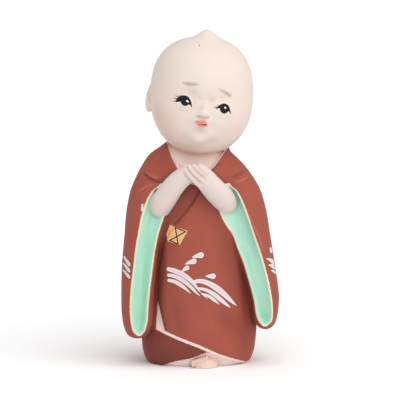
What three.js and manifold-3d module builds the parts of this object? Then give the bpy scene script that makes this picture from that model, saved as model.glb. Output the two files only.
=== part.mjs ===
// Earthenware figurine: a small bald child in a long-sleeved wrap robe, hands clasped under the chin.
// It is cast as one piece, so it is one solid. Millimetres, +Z up, front towards -Y, standing on z = 0.

import * as THREE from "three";
import { mergeVertices } from "three/addons/utils/BufferGeometryUtils.js";
import Module from "manifold-3d";

const wasm = await Module();
wasm.setup();

// Driving size: from the ground to the tip of the crown. The figure keeps its proportions with it.
const FIGURE_HEIGHT = 200;
// Every shape below is measured in two-hundredths of that height.
const unit = FIGURE_HEIGHT / 200;

// How far each layer of the robe stands outside the one below it, and how deep the sleeve mouths are.
const LAYER_STEP = 1.2 * unit;
const MOUTH_DEPTH = 7 * unit;

// How far the hem and the wrapped panel run behind the middle of the robe's sides before they end.
const HEM_LAP = 0.6 * unit;
const PANEL_LAP = 1.4 * unit;

// Length of the blocks that cut the robe's layers from the front.
const BLOCK_REACH = 60 * unit;

// Wedge of a sleeve's mouth: its half widths, as shares of the mouth's, well ahead of the lip, a
// little behind it and at its bottom. Where the mouth is narrow the hollow is shallower.
const MOUTH_WIDTHS = [1, 0.96, 0.3];
const MOUTH_AHEAD = 30 * unit;
const MOUTH_LIP = 1.5 * unit;
const FULL_DEPTH_HALF_WIDTH = 4 * unit;

// Corners closer together than this are one corner.
const WELD = 0.03 * unit;

// Facets round and along each form.
const BODY_SIDES = 48;
const BODY_RINGS = 22;
const SLEEVE_SIDES = 26;
const SLEEVE_RINGS = 17;
const HEAD_SIDES = 34;
const HEAD_RINGS = 24;
const LIMB_SIDES = 12;
const FINGER_SIDES = 7;
const NECK_SIDES = 20;

// Robe over the body: height, centre across, half width, reach to the front, reach to the back.
const BODY_SHAPE = [
  [0, -1.6, 28.2, 20.3, 19.5],
  [3, -1.5, 30.2, 22.8, 21.5],
  [8, -1.3, 31.8, 25.2, 23.8],
  [15, -1.1, 32.6, 26.4, 25],
  [26, -0.8, 33, 26.8, 25.6],
  [45, -0.4, 33, 26.2, 25.4],
  [70, -1, 31.4, 25, 24.6],
  [95, -2, 30, 23.8, 23.6],
  [110, -3, 28.4, 22.8, 22],
  [118, -4.2, 25.8, 21, 20.4],
  [124, -4.6, 22.6, 18, 18.6],
  [129, -3.6, 19, 15, 16.8],
  [133, -2.2, 15.8, 12.6, 14.6],
  [137, -1.2, 12.5, 10.5, 11.5],
];
const BODY_FULLNESS = 2.25;

// Each hanging sleeve: height, centre across, half thickness, centre in depth, half depth.
const LEFT_SLEEVE = [
  [16.8, -37.3, 3.8, -8, 12],
  [18, -37.2, 5.9, -8, 15.6],
  [20.4, -37, 7.6, -8, 18],
  [26, -36.6, 9.6, -8, 19.6],
  [38, -36.2, 10.8, -8, 20.6],
  [60, -34.8, 11.7, -8, 21],
  [78, -32.6, 12.4, -7.6, 20.8],
  [92, -30.2, 13.6, -6.6, 20.2],
  [103, -27.6, 14, -5, 19],
  [110, -25.2, 13.7, -3.4, 17.6],
  [118, -21.8, 13, -1.8, 15],
  [125, -18.4, 11.4, 0, 11.5],
  [130, -15, 7.5, 1, 7.5],
];
const RIGHT_SLEEVE = [
  [22.4, 38.9, 3, -8, 12],
  [23.6, 38.9, 4.8, -8, 15.4],
  [26, 38.8, 6.5, -8, 17.8],
  [33, 38.7, 8, -8, 19.8],
  [42, 38.2, 8.9, -8, 20.6],
  [60, 34, 10.6, -8, 21],
  [78, 30.4, 11.4, -7.6, 20.8],
  [92, 27.6, 11.9, -6.6, 20.2],
  [103, 24.4, 12, -5, 19],
  [110, 21, 11.6, -3.4, 17.6],
  [118, 16, 10.8, -1.8, 15],
  [124.5, 10.6, 9.6, 0, 11.5],
  [128.5, 8, 7, 1, 7.5],
];
const SLEEVE_FULLNESS = 2.4;

// Mouth of each sleeve, seen from the front: height, centre across, half width.
const LEFT_MOUTH = [
  [20.6, -36.2, 0.4],
  [22.4, -36.2, 2.8],
  [27, -36.2, 4.2],
  [36, -36.1, 5.1],
  [48, -35.1, 5.6],
  [60.5, -33.7, 5.7],
  [74.5, -32.1, 5.9],
  [85, -30, 6.6],
  [93, -27.8, 7.2],
  [101, -25.6, 6.2],
  [107, -23.4, 3.4],
  [109.5, -22.4, 0.3],
];
const RIGHT_MOUTH = [
  [26.5, 38.5, 0.4],
  [28.3, 38.5, 3.2],
  [32.4, 38.1, 4.8],
  [39.4, 37.3, 5.6],
  [51.7, 35.2, 6.1],
  [65.3, 31, 6.3],
  [78, 26.3, 6.5],
  [90, 21.8, 7],
  [99, 19.4, 6.2],
  [106, 18.2, 3.6],
  [109.5, 17.8, 0.3],
];

// Outlines on the front of the robe, across and up.
const NECK_OPENING = [
  [-20.4, 140],
  [-19.7, 134],
  [-16.6, 126],
  [-12.6, 119],
  [-6, 106],
  [8, 120.6],
  [16.7, 131],
  [22, 140],
];
const WRAP_EDGE = [
  [16.7, 131],
  [8, 120.6],
  [-4.8, 98.5],
  [-14.3, 87],
  [-21, 76],
  [-24, 58],
  [-25, 40],
  [-21, 22.6],
];
const WRAP_HEM = [
  [-21, 22.6],
  [-12, 19],
  [0, 14.4],
  [12, 8.5],
  [25, 2.9],
  [32, -1],
];
const UNDER_HEM = [
  [-25, -1],
  [-22, 0.4],
  [-15, 3.6],
  [-6, 5.8],
  [4.2, 9.8],
  [12, 8.2],
  [31, 3],
  [33, -1],
];
// Corners that close the wrapped panel's outline, well outside the robe.
const WRAP_SIDE = [
  [60, -1],
  [60, 140],
  [22, 140],
];
const LINING_WIDTH = 1.9 * unit; // of the pale padded hem that shows past the wrap's edge

// Forearms rising from the sleeve mouths: points across, back and up, and a radius at each point.
const FOREARM_PATHS = [
  [
    [-24.2, -20, 96.4],
    [-20.5, -23, 101],
    [-13.4, -27, 109.6],
    [-7, -29.4, 117.6],
  ],
  [
    [15, -20.6, 97.4],
    [13.2, -23.4, 100.4],
    [7.4, -27.6, 108],
    [1.6, -30, 115.6],
  ],
];
const FOREARM_RADII = [7, 7.5, 6.8, 5.4];

// Hands: the two palms, then four fingers, the thumb over them and the finger under them.
const PALMS = [
  { centre: [-8, -29.6, 117.4], halfSizes: [6, 5.4, 6], turn: 0.7 },
  { centre: [2.6, -30.6, 115], halfSizes: [7.6, 5, 6.4], turn: 0.75 },
];
const DIGITS = [
  {
    path: [[3.2, -32.6, 107.4], [-3.4, -35.8, 111.6], [-9.4, -34.2, 118.4]],
    radii: [1.9, 2, 1.5],
    steps: 4,
  },
  {
    path: [[5, -33.2, 110], [-1.8, -36.6, 114.4], [-8.6, -34.8, 121.8]],
    radii: [1.9, 2, 1.5],
    steps: 4,
  },
  {
    path: [[7.2, -32.8, 112.8], [0.6, -36.4, 117.4], [-6.4, -34.4, 124]],
    radii: [1.9, 2, 1.5],
    steps: 4,
  },
  {
    path: [[9.6, -31.6, 115], [3.6, -35, 120], [-2.6, -33, 124.8]],
    radii: [1.9, 2, 1.5],
    steps: 4,
  },
  {
    path: [[11.2, -29.6, 114.6], [6.6, -32.6, 120.2], [0.4, -31.6, 124.4]],
    radii: [1.9, 1.8, 1.4],
    steps: 3,
  },
  {
    path: [[-13.6, -30.8, 113.4], [-9.6, -32, 119.4], [-5.6, -31.4, 123.4]],
    radii: [1.9, 2, 1.6],
    steps: 3,
  },
];

// Bare throat between the collar and the chin.
const NECK_PATH = [
  [-2.6, -3.6, 112],
  [-1.8, -2.8, 124],
  [-0.6, -2, 136],
];
const NECK_RADII = [13.6, 12.8, 14];

// Foot under the hem, and its row of small toes.
const FOOT_CENTRE = [2.6, -21.6, 1.4];
const FOOT_HALF_SIZES = [7.5, 6.9, 5];
const TOES = 6;
const FIRST_TOE = [-3.6, -25.8, 2.2];
const TOE_PITCH = 1.6;
const TOE_RISE = 0.6;
const TOE_HALF_SIZES = [1.05, 1.6, 1.7];

// Head: its centre and half sizes, and how square its crown, its jaw and its level outline are.
const HEAD_CENTRE = new THREE.Vector3(1, -2.2, 160.9).multiplyScalar(unit);
const HEAD_HALF_WIDTH = 30.6 * unit;
const HEAD_HALF_DEPTH = 30.6 * unit;
const HEAD_CROWN = 34.6 * unit;
const HEAD_CHIN = 35.6 * unit;
const CROWN_FULLNESS = 2.45;
const JAW_FULLNESS = 2.15;
const GIRTH_FULLNESS = 2.12;
// Lean of the skull, further tilt of the face and ears on it, and turn of the head, all to its left.
const HEAD_LEAN = THREE.MathUtils.degToRad(1);
const FACE_TILT = THREE.MathUtils.degToRad(10);
const HEAD_TURN = THREE.MathUtils.degToRad(4.3);
// Soft swellings of the head: direction, height and spread (an angle in radians).
const HEAD_SWELLINGS = [
  { towards: [0.07, -0.06, 1], rise: 5, spread: 0.17 },
  { towards: [-0.13, -0.66, -0.75], rise: 2, spread: 0.36 },
  { towards: [-0.6, -0.7, -0.36], rise: 0.9, spread: 0.34 },
  { towards: [0.5, -0.72, -0.5], rise: 0.9, spread: 0.34 },
  { towards: [-0.04, -1, -0.26], rise: 0.8, spread: 0.2 },
];

// Cubic curve through a table's rows: returns the values at a height.
function through(rows) {
  const slope = (i, k) => {
    const [before, after] = [rows[Math.max(i - 1, 0)], rows[Math.min(i + 1, rows.length - 1)]];
    return (after[k] - before[k]) / (after[0] - before[0]);
  };
  return (height) => {
    const h = THREE.MathUtils.clamp(height, rows[0][0], rows.at(-1)[0]);
    const i = Math.min(rows.findLastIndex((row) => row[0] <= h), rows.length - 2);
    const span = rows[i + 1][0] - rows[i][0];
    const t = (h - rows[i][0]) / span;
    return rows[i].slice(1).map((value, j) => {
      const k = j + 1;
      return (
        value * (1 + 2 * t) * (1 - t) ** 2 +
        rows[i + 1][k] * t * t * (3 - 2 * t) +
        span * slope(i, k) * t * (1 - t) ** 2 +
        span * slope(i + 1, k) * t * t * (t - 1)
      );
    });
  };
}

// Heights of a form's rings: close together at its rounded ends.
function ringHeights(rows, count) {
  const [low, high] = [rows[0][0], rows.at(-1)[0]];
  return Array.from({ length: count + 1 }, (_, i) => {
    const t = i / count;
    return low + (high - low) * (t - Math.sin(2 * Math.PI * t) / 12);
  });
}

// Level oval ring, counter-clockwise from +X. "grow" is what a layer adds at a point of the oval.
function ovalRing(centre, halfWidth, front, back, fullness, sides, grow = () => 0) {
  return Array.from({ length: sides }, (_, i) => {
    const angle = (2 * Math.PI * i) / sides;
    const bend = (value) => Math.sign(value) * Math.abs(value) ** (2 / fullness);
    const offset = new THREE.Vector3(
      halfWidth * bend(Math.cos(angle)),
      (angle > Math.PI ? front : back) * bend(Math.sin(angle)),
      0,
    );
    offset.setLength(offset.length() + grow(offset));
    return offset.add(centre);
  });
}

// Closed skin over rings that run counter-clockwise seen from the last one.
function loft(rings) {
  const sides = rings[0].length;
  const middle = (ring) =>
    ring.reduce((sum, point) => sum.add(point), new THREE.Vector3()).divideScalar(sides);
  const points = [...rings.flat(), middle(rings[0]), middle(rings.at(-1))];
  const [first, last] = [points.length - 2, points.length - 1];
  const faces = [];
  for (let k = 0; k < sides; k++) {
    const next = (k + 1) % sides;
    for (let r = 0; r + 1 < rings.length; r++) {
      const [a, b] = [r * sides + k, r * sides + next];
      faces.push(a, b, b + sides, a, b + sides, a + sides);
    }
    const top = (rings.length - 1) * sides;
    faces.push(first, next, k, last, top + k, top + next);
  }
  const geometry = new THREE.BufferGeometry().setFromPoints(points);
  geometry.setIndex(faces);
  return geometry;
}

function solid(geometry) {
  const bare = new THREE.BufferGeometry().setAttribute("position", geometry.getAttribute("position"));
  bare.setIndex(geometry.index);
  const merged = mergeVertices(bare, 1e-4);
  const body = new wasm.Manifold(
    new wasm.Mesh({
      numProp: 3,
      vertProperties: merged.attributes.position.array,
      triVerts: new Uint32Array(merged.index.array),
    }),
  );
  return body.setTolerance(WELD);
}

function geometryOf(body) {
  const mesh = body.getMesh();
  const geometry = new THREE.BufferGeometry();
  geometry.setAttribute("position", new THREE.BufferAttribute(mesh.vertProperties, 3));
  geometry.setIndex(new THREE.BufferAttribute(mesh.triVerts, 1));
  return geometry;
}

const joined = (bodies) => bodies.reduce((whole, body) => whole.add(body));

// Block with an outline drawn across and up, reaching from the front to a lap behind the middle.
function frontBlock(outline, lap = 0) {
  const shape = new THREE.Shape(outline.map(([x, z]) => new THREE.Vector2(x * unit, z * unit)));
  const geometry = new THREE.ExtrudeGeometry(shape, { depth: BLOCK_REACH + lap, bevelEnabled: false });
  return solid(geometry.rotateX(Math.PI / 2).translate(0, lap, 0));
}

// Body of the robe, with an even layer round it and a second one that fades out behind the front.
function robeBody(layer = 0, frontLayer = 0) {
  const shapeAt = through(BODY_SHAPE);
  const rings = ringHeights(BODY_SHAPE, BODY_RINGS).map((height) => {
    const [x, halfWidth, front, back] = shapeAt(height).map((value) => value * unit);
    const grow = (offset) =>
      layer + frontLayer * THREE.MathUtils.smoothstep(-offset.y / front, -0.15, 0.35);
    const centre = new THREE.Vector3(x, 0, height * unit);
    return ovalRing(centre, halfWidth, front, back, BODY_FULLNESS, BODY_SIDES, grow);
  });
  return solid(loft(rings));
}

// Wrap robe: the bare chest and pale under-robe, the red robe, and the front panel wrapped over it.
function robe() {
  const wrap = [...WRAP_EDGE, ...WRAP_HEM.slice(1), ...WRAP_SIDE];
  const shift = LINING_WIDTH / unit;
  const lining = [
    [-25, 40],
    [-25 - 0.7 * shift, 22.6],
    ...WRAP_HEM.slice(0, -1).map(([x, z]) => [x - 0.2 * shift, z - shift]),
    [32, -2],
    [32, 40],
  ];
  const coat = robeBody(LAYER_STEP)
    .subtract(frontBlock(NECK_OPENING))
    .subtract(frontBlock(UNDER_HEM));
  const hem = robeBody(LAYER_STEP, LAYER_STEP / 2).intersect(frontBlock(lining, HEM_LAP));
  const panel = robeBody(LAYER_STEP, LAYER_STEP).intersect(frontBlock(wrap, PANEL_LAP));
  return joined([robeBody(), coat, hem, panel]);
}

// Wedge-shaped hollow of a sleeve's mouth, deepest along its middle.
function mouthHollow(mouth, sleeve) {
  const [mouthAt, sleeveAt] = [through(mouth), through(sleeve)];
  const rings = ringHeights(mouth, SLEEVE_RINGS).map((height) => {
    const [x, halfWidth] = mouthAt(height).map((value) => value * unit);
    const [centre, thickness, middle, depth] = sleeveAt(height).map((value) => value * unit);
    const aside = Math.min(Math.abs(x - centre) / thickness, 0.9);
    const lip = middle - depth * (1 - aside ** SLEEVE_FULLNESS) ** (1 / SLEEVE_FULLNESS);
    const depths = [
      lip - MOUTH_AHEAD,
      lip + MOUTH_LIP,
      lip + MOUTH_DEPTH * Math.min(1, halfWidth / FULL_DEPTH_HALF_WIDTH),
    ];
    const rightSide = MOUTH_WIDTHS.map((share, i) => [share * halfWidth, depths[i]]);
    const leftSide = rightSide.map(([reach, y]) => [-reach, y]);
    const wedge = [leftSide[0], ...rightSide, ...leftSide.slice(1).reverse()];
    return wedge.map(([reach, y]) => new THREE.Vector3(x + reach, y, height * unit));
  });
  return solid(loft(rings));
}

function sleeve(shape, mouth) {
  const shapeAt = through(shape);
  const rings = ringHeights(shape, SLEEVE_RINGS).map((height) => {
    const [x, thickness, y, depth] = shapeAt(height).map((value) => value * unit);
    const centre = new THREE.Vector3(x, y, height * unit);
    return ovalRing(centre, thickness, depth, depth, SLEEVE_FULLNESS, SLEEVE_SIDES);
  });
  return solid(loft(rings)).subtract(mouthHollow(mouth, shape));
}

// Round limb along a smooth path, with a radius at each of its points and domed ends.
function limb(path, radii, sides, steps = 4) {
  const curve = new THREE.CatmullRomCurve3(
    path.map(([x, y, z]) => new THREE.Vector3(x, y, z).multiplyScalar(unit)),
  );
  const frames = curve.computeFrenetFrames(steps, false);
  const radiusAt = (t) => {
    const place = t * (radii.length - 1);
    const i = Math.min(Math.floor(place), radii.length - 2);
    return THREE.MathUtils.lerp(radii[i], radii[i + 1], place - i) * unit;
  };
  const ring = (i, ahead, share) => {
    const centre = curve.getPoint(i / steps).addScaledVector(frames.tangents[i], ahead);
    const radius = radiusAt(i / steps) * share;
    return Array.from({ length: sides }, (_, k) => {
      const angle = (2 * Math.PI * k) / sides;
      return centre
        .clone()
        .addScaledVector(frames.normals[i], radius * Math.cos(angle))
        .addScaledVector(frames.binormals[i], radius * Math.sin(angle));
    });
  };
  const dome = [0.45, 0.85].map((share) => [share, Math.sqrt(1 - share * share)]);
  return solid(
    loft([
      ...dome.map(([share, rise]) => ring(0, -rise * radiusAt(0), share)),
      ...Array.from({ length: steps + 1 }, (_, i) => ring(i, 0, 1)),
      ...dome.reverse().map(([share, rise]) => ring(steps, rise * radiusAt(1), share)),
    ]),
  );
}

// Ball stretched to half sizes, turned and placed.
function ball(centre, halfSizes, turn = [0, 0, 0], sides = 14) {
  const geometry = new THREE.SphereGeometry(1, sides, Math.round(sides * 0.6));
  geometry.scale(...halfSizes.map((size) => size * unit));
  geometry.applyMatrix4(new THREE.Matrix4().makeRotationFromEuler(new THREE.Euler(...turn)));
  return solid(geometry.translate(...centre.map((value) => value * unit)));
}

// Forearms that rise from the sleeve mouths to meet in front of the throat.
function forearms() {
  return joined(FOREARM_PATHS.map((path) => limb(path, FOREARM_RADII, LIMB_SIDES)));
}

// Clasped hands: the left hand's four fingers and thumb lie over the back of the right hand.
function hands() {
  const palms = PALMS.map(({ centre, halfSizes, turn }) => ball(centre, halfSizes, [0, turn, 0], 12));
  const digits = DIGITS.map(({ path, radii, steps }) => limb(path, radii, FINGER_SIDES, steps));
  return joined([...palms, ...digits]);
}

// Distance from the head's centre to its skin, in a direction of the head's own frame.
function headRadius(direction) {
  const { lerp, smoothstep } = THREE.MathUtils;
  const upper = smoothstep(direction.z, -0.3, 0.4);
  const power = lerp(JAW_FULLNESS, CROWN_FULLNESS, upper);
  const height = lerp(HEAD_CHIN, HEAD_CROWN, upper);
  const girth =
    (Math.abs(direction.x / HEAD_HALF_WIDTH) ** GIRTH_FULLNESS +
      Math.abs(direction.y / HEAD_HALF_DEPTH) ** GIRTH_FULLNESS) **
    (1 / GIRTH_FULLNESS);
  const sum = girth ** power + Math.abs(direction.z / height) ** power;
  const swelling = HEAD_SWELLINGS.reduce((total, { towards, rise, spread }) => {
    const angle = direction.angleTo(new THREE.Vector3(...towards));
    return total + rise * unit * Math.exp(-((angle / spread) ** 2));
  }, 0);
  return sum ** (-1 / power) + swelling;
}

function skull() {
  const geometry = new THREE.SphereGeometry(1, HEAD_SIDES, HEAD_RINGS).rotateX(Math.PI / 2);
  const position = geometry.getAttribute("position");
  const direction = new THREE.Vector3();
  for (let i = 0; i < position.count; i++) {
    direction.fromBufferAttribute(position, i).normalize();
    direction.multiplyScalar(headRadius(direction));
    position.setXYZ(i, ...direction);
  }
  return solid(geometry);
}

// Head with its ears, nose and small mouth, tilted towards the figure's left shoulder.
function head() {
  const level = new THREE.Vector3(0, 1, 0);
  const onSkin = (x, y, z, sunk) => {
    const direction = new THREE.Vector3(x, y, z).applyAxisAngle(level, FACE_TILT).normalize();
    return direction.multiplyScalar(headRadius(direction) / unit - sunk).toArray();
  };
  const features = [
    skull(),
    ball(onSkin(-28, 9.5, -8.6, 0), [2.9, 5.2, 8.8], [0.12, FACE_TILT, 0.4], 12),
    ball(onSkin(28, 10.5, -8.6, 0.8), [2.9, 5.2, 8.8], [0.12, FACE_TILT, -0.4], 12),
    ball(onSkin(0, -30, -7.2, 0.6), [2.5, 2.4, 2.1], [0.4, FACE_TILT, 0], 10),
    ball(onSkin(0, -30, -12, 0.4), [3.2, 1.5, 1.2], [0, FACE_TILT, 0], 10),
    ball(onSkin(0, -30, -14.2, 0.6), [2.7, 1.5, 1.2], [0, FACE_TILT, 0], 10),
  ];
  const turn = new THREE.Matrix4()
    .makeRotationY(HEAD_LEAN)
    .multiply(new THREE.Matrix4().makeRotationZ(HEAD_TURN))
    .setPosition(HEAD_CENTRE);
  return joined(features).transform(turn.toArray());
}

// Bare throat between the collar and the chin.
function neck() {
  return limb(NECK_PATH, NECK_RADII, NECK_SIDES, 3);
}

// Foot that peeps out under the hem: a low mound with its small toes in a rising row.
function foot() {
  const [x, y, z] = FIRST_TOE;
  const toes = Array.from({ length: TOES }, (_, i) =>
    ball([x + TOE_PITCH * i, y, z + TOE_RISE * i], TOE_HALF_SIZES, [0, 0, 0], FINGER_SIDES),
  );
  return joined([ball(FOOT_CENTRE, FOOT_HALF_SIZES), ...toes]);
}

// All forms of the casting joined, cut level at the ground, and centred over its own footprint.
function figurine() {
  const whole = joined([
    robe(),
    neck(),
    sleeve(LEFT_SLEEVE, LEFT_MOUTH),
    sleeve(RIGHT_SLEEVE, RIGHT_MOUTH),
    forearms(),
    hands(),
    head(),
    foot(),
  ]);
  const geometry = geometryOf(whole.trimByPlane([0, 0, 1], 0).simplify(WELD));
  geometry.computeBoundingBox();
  const middle = geometry.boundingBox.getCenter(new THREE.Vector3());
  return geometry.translate(-middle.x, -middle.y, -geometry.boundingBox.min.z);
}

const paintedClay = new THREE.MeshStandardMaterial({
  name: "painted earthenware",
  color: "#a85a4c",
  roughness: 0.75,
  metalness: 0,
});

const model = new THREE.Group();
const mesh = new THREE.Mesh(figurine(), paintedClay);
mesh.name = "figurine";
model.add(mesh);

export default model;
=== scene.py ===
"""Painted earthenware figurine: a small bald child in a long-sleeved wrap robe, cast in one piece.

The clay is modelled as rounded forms that are joined and cut in a block of fine cells, and the paint
is laid on from the front, as the painter does it. Forms and painted marks are measured in
two-hundredths of the figure's height, from the middle of its base: across, back and up.
"""

import math

import bmesh
import bpy
import numpy as np
import openvdb
from mathutils import Matrix, Vector


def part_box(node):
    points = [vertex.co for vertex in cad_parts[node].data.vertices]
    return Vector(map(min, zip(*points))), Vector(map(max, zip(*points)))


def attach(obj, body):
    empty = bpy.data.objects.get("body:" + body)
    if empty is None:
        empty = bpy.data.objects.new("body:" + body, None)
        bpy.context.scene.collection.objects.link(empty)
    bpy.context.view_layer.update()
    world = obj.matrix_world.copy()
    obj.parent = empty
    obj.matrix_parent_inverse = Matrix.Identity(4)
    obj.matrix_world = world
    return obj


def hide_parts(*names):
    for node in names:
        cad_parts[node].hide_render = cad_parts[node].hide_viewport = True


bl_info = {
    "name": "Clay Child Figurine",
    "version": (1, 0, 0),
    "blender": (4, 5, 0),
    "location": "3D View > Sidebar > Figurine",
    "description": "Casts, paints and lights a small earthenware figure of a child in a wrap robe",
    "category": "Add Mesh",
}

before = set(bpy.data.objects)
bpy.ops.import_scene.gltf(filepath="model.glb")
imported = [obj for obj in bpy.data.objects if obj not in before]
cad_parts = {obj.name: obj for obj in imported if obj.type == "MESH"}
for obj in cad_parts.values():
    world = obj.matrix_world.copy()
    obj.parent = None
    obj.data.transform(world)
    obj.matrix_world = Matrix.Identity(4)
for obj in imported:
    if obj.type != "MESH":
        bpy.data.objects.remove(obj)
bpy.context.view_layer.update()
NODE = "figurine"
BODY = "root"
LOW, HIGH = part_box(NODE)

# The forms' own measure: the figure is this many units tall, so a unit is 1 mm at 200 mm.
UNITS_TALL = 200.0

# How far below the horizon the painter looks, and the camera too.
LOOK_DOWN = math.radians(9.0)


def linear(colour):
    """Linear RGBA of an sRGB hex colour."""
    parts = (int(colour[i : i + 2], 16) / 255 for i in (1, 3, 5))
    return (*(p / 12.92 if p <= 0.04045 else ((p + 0.055) / 1.055) ** 2.4 for p in parts), 1.0)


def colour_property(name, description, colour):
    """A colour that a user can change, given as sRGB hex."""
    return bpy.props.FloatVectorProperty(
        name=name,
        description=description,
        subtype="COLOR",
        size=4,
        min=0.0,
        max=1.0,
        default=linear(colour),
    )


# ---------------------------------------------------------------------------------------------
# Tables of forms, in units. Each row of an upright form starts with its height.

# Robe over the body: height, centre across, half width, reach to the front, reach to the back.
BODY_SHAPE = [
    (0, -1.6, 28.2, 20.3, 19.5),
    (3, -1.5, 30.2, 22.8, 21.5),
    (8, -1.3, 31.8, 25.2, 23.8),
    (15, -1.1, 32.6, 26.4, 25),
    (26, -0.8, 33, 26.8, 25.6),
    (45, -0.4, 33, 26.2, 25.4),
    (70, -1, 31.4, 25, 24.6),
    (95, -2, 30, 23.8, 23.6),
    (110, -3, 28.4, 22.8, 22),
    (118, -4.2, 25.8, 21, 20.4),
    (124, -4.6, 22.6, 18, 18.6),
    (129, -3.6, 19, 15, 16.8),
    (133, -2.2, 15.8, 12.6, 14.6),
    (137, -1.2, 12.5, 10.5, 11.5),
]
BODY_FULLNESS = 2.25

# Hanging sleeves: height, centre across, half thickness, centre in depth, half depth.
SLEEVES = {
    "left": [
        (16.8, -37.3, 3.8, -8, 12),
        (18, -37.2, 5.9, -8, 15.6),
        (20.4, -37, 7.6, -8, 18),
        (26, -36.6, 9.6, -8, 19.6),
        (38, -36.2, 10.8, -8, 20.6),
        (60, -34.8, 11.7, -8, 21),
        (78, -32.6, 12.4, -7.6, 20.8),
        (92, -30.2, 13.6, -6.6, 20.2),
        (103, -27.6, 14, -5, 19),
        (110, -25.2, 13.7, -3.4, 17.6),
        (118, -21.8, 13, -1.8, 15),
        (125, -18.4, 11.4, 0, 11.5),
        (130, -15, 7.5, 1, 7.5),
    ],
    "right": [
        (22.4, 38.9, 3, -8, 12),
        (23.6, 38.9, 4.8, -8, 15.4),
        (26, 38.8, 6.5, -8, 17.8),
        (33, 38.7, 8, -8, 19.8),
        (42, 38.2, 8.9, -8, 20.6),
        (60, 33.6, 11, -8, 21),
        (78, 29.4, 12.4, -7.6, 20.8),
        (92, 26.6, 12.9, -6.6, 20.2),
        (103, 24, 12.4, -5, 19),
        (110, 21, 11.6, -3.4, 17.6),
        (118, 16, 10.8, -1.8, 15),
        (124.5, 10.6, 9.6, 0, 11.5),
        (128.5, 8, 7, 1, 7.5),
    ],
}
SLEEVE_FULLNESS = 2.4

# Mouths of the sleeves, seen from the front: height, centre across, half width.
MOUTH_FULLNESS = 1.6
MOUTHS = {
    "left": [
        (20.5, -36.2, 0.4),
        (21, -36.2, 1.3),
        (22.2, -36.2, 2.3),
        (25, -36.3, 3.2),
        (29, -36.1, 4),
        (36, -36.2, 4.5),
        (48, -35.3, 4.8),
        (60.5, -33.6, 4.9),
        (74.5, -31.7, 5.1),
        (84, -29.6, 5.4),
        (93, -26.8, 6.4),
        (101, -24.9, 5.4),
        (107, -23.2, 3.2),
        (109.5, -22.4, 0.4),
    ],
    "right": [
        (26.2, 38.6, 0.4),
        (26.8, 38.7, 1.6),
        (28.3, 38.8, 3),
        (32.4, 38, 4.5),
        (39.4, 36.9, 5.2),
        (51.7, 34.3, 5.8),
        (65.3, 30.2, 6.3),
        (78, 25.4, 6.7),
        (90, 21, 7),
        (99, 18.5, 6.2),
        (106, 17.2, 3.8),
        (109.5, 16.6, 0.4),
    ],
}

# Outlines on the front of the robe, across and up.
NECK_OPENING = [
    (-20.4, 140), (-19.7, 134), (-16.6, 126), (-12.6, 119),
    (-4, 110.4), (8, 120.6), (16.7, 131), (22, 140),
]
WRAP_EDGE = [
    (16.7, 131), (8, 120.6), (-4.8, 98.5), (-14.3, 87),
    (-21, 76), (-24, 58), (-25, 40), (-21, 22.6),
]
WRAP_HEM = [(-12, 19), (0, 14.4), (12, 8.5), (25, 2.9), (32, -1)]
WRAP_SIDE = [(60, -1), (60, 140), (22, 140)]
UNDER_ROBE = [
    (-25, -1), (-22, 0.4), (-15, 3.6), (-6, 5.8), (4.2, 9.8), (12, 8.2), (31, 3), (33, -1),
]
LINING_WIDTH = 1.9

# Soft folds pressed into the robe, seen from the front: points (across, up), width, rise. A fold
# with a negative rise is a groove.
FRONT_FOLDS = [
    ([(-34.7, 116.5), (-30, 112.8), (-26, 111), (-22.7, 110.3)], 1.3, -1.1),
    ([(-33, 119), (-29, 115.6), (-25, 113.4)], 2.0, 0.7),
    ([(-37.2, 104.5), (-32.1, 107.6), (-25, 108.6)], 1.6, 0.7),
    ([(28, 117.6), (24, 115), (19.6, 112.6)], 1.3, -1.0),
    ([(30, 113), (26, 111), (21, 109.6)], 2.0, 0.7),
    ([(27, 95), (33.4, 79.5), (38.6, 66)], 1.2, 0.55),
    ([(-19, 119), (-24, 112), (-27, 106)], 3.0, 0.5),
    ([(25, 76), (26.5, 50), (27, 30), (26, 14)], 3.4, -1.5),
    ([(-23, 78), (-24.6, 60), (-25.2, 36), (-24, 20)], 2.2, -1.5),
    ([(-20, 70), (-19.5, 50), (-20.5, 30)], 3.2, 0.6),
    ([(8, 100), (16, 84), (21, 60)], 4.0, -0.6),
    ([(-6, 96), (-10, 84), (-13, 66)], 4.5, 0.6),
    ([(6, 12), (20, 24), (27, 44)], 4.0, -0.5),
]
BACK_FOLDS = [
    ([(-11, 118), (-14, 84), (-16, 40), (-17, 10)], 4.5, -1.0),
    ([(7, 118), (11, 84), (14, 40), (15, 10)], 4.5, -1.0),
    ([(-2, 112), (-1, 70), (-1, 14)], 6.0, 0.7),
    ([(-21, 112), (-24, 80), (-25, 40), (-24, 16)], 2.6, -1.1),
    ([(15, 112), (20, 80), (23, 40), (23, 20)], 2.6, -1.1),
]

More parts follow.
